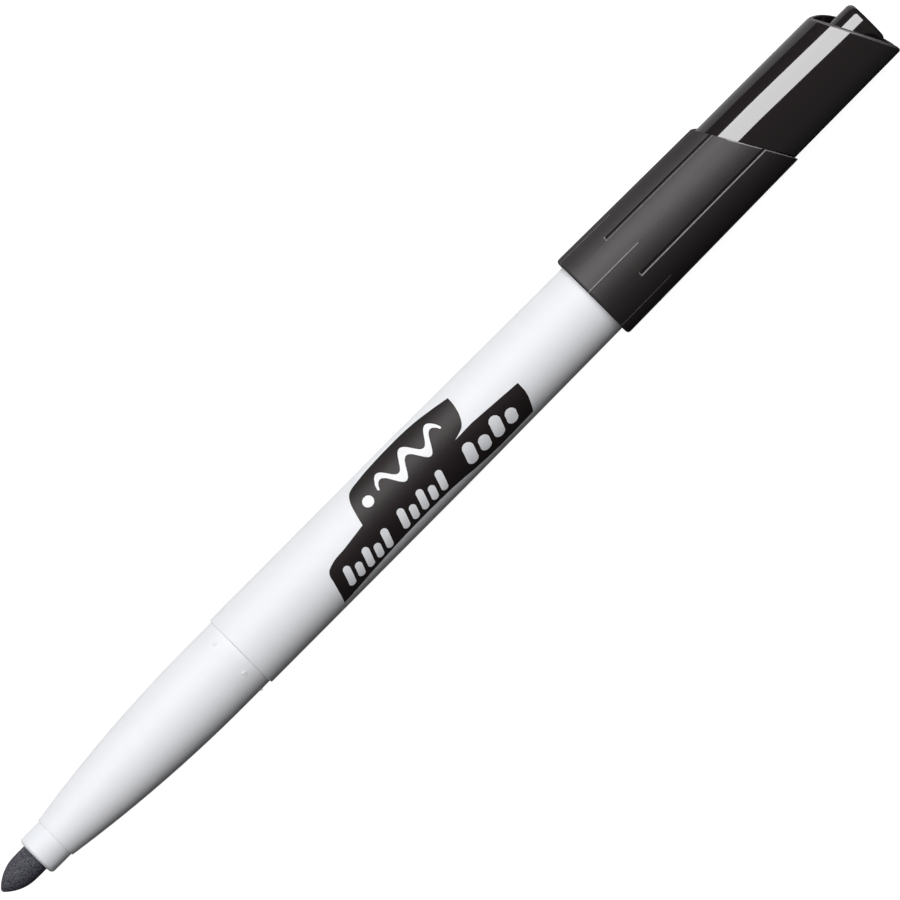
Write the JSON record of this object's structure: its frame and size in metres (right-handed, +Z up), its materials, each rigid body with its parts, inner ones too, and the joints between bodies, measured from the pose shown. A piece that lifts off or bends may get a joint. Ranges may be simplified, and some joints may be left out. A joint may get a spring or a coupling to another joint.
{
  "type": "whiteboard marker",
  "caption": "Slim bullet-tip whiteboard marker: white barrel with an ogive writing section, felt nib, and a black two-part vented cap posted on its tail.",
  "frame": {"origin": "under the middle of the marker's length, at the height of the cap's lip when the marker lies on its side", "axes": "+X along the marker from the nib to the cap's open end, +Z up with the marker on its side, +Y the low side of the cap's slanted rims"},
  "size_m": [0.16, 0.0132, 0.0132],
  "materials": {
    "barrel_white": "moulded polypropylene, soft gloss",
    "section_white": "moulded polypropylene, soft gloss",
    "plug_white": "moulded polypropylene",
    "nib_felt": "sintered acrylic fibre soaked with ink",
    "reservoir_fibre": "polyester fibre soaked with ink",
    "reservoir_wrap": "thin clear film",
    "breather_white": "extruded tube",
    "sleeve_black": "satin moulded polypropylene",
    "shell_black": "high-gloss moulded plastic",
    "liner_black": "glossy moulded plastic",
    "print_black": "printed ink",
    "print_silver": "printed ink"
  },
  "bodies": {
    "marker": {"nib": "nib_felt", "nib_collar": "section_white", "front_section": "section_white", "barrel": "barrel_white", "rear_plug": "plug_white", "ink_reservoir": "reservoir_fibre", "reservoir_film": "reservoir_wrap", "breather_tube": "breather_white"},
    "cap": {"cap_sleeve": "sleeve_black", "cap_shell": "shell_black", "cap_liner": "liner_black"}
  },
  "joints": [
    {"name": "cap_pull", "type": "slide", "parent": "marker", "child": "cap", "axis": [1, 0, 0], "range_m": [0, 0.03]}
  ]
}
